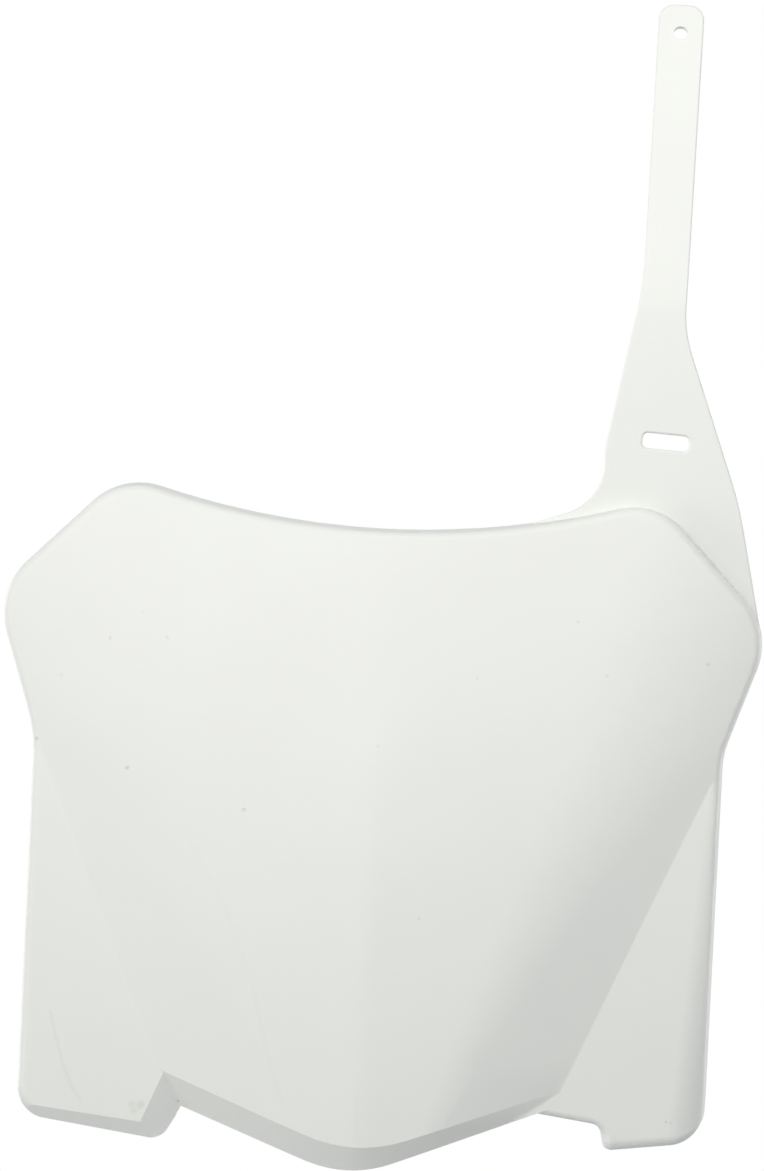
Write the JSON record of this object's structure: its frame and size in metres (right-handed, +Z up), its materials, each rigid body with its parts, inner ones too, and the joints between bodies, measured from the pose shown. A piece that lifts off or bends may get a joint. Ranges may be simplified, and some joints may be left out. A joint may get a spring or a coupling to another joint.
{
  "type": "racing number board",
  "caption": "Bowed front number board for an off-road motorbike, a thin moulded shell with a keeled prow, flat side legs and a long fastening strap on one side.",
  "frame": {"origin": "centre of the lower bolt hole, in the lug behind the keel", "axes": "+Z up along the strap, -Y towards the front of the board, +X to the strap's side (right, seen from the front)"},
  "size_m": [0.2408, 0.066, 0.3733],
  "materials": {
    "white_plastic": "satin"
  },
  "bodies": {
    "root": {"number_board": "white_plastic"}
  },
  "joints": []
}
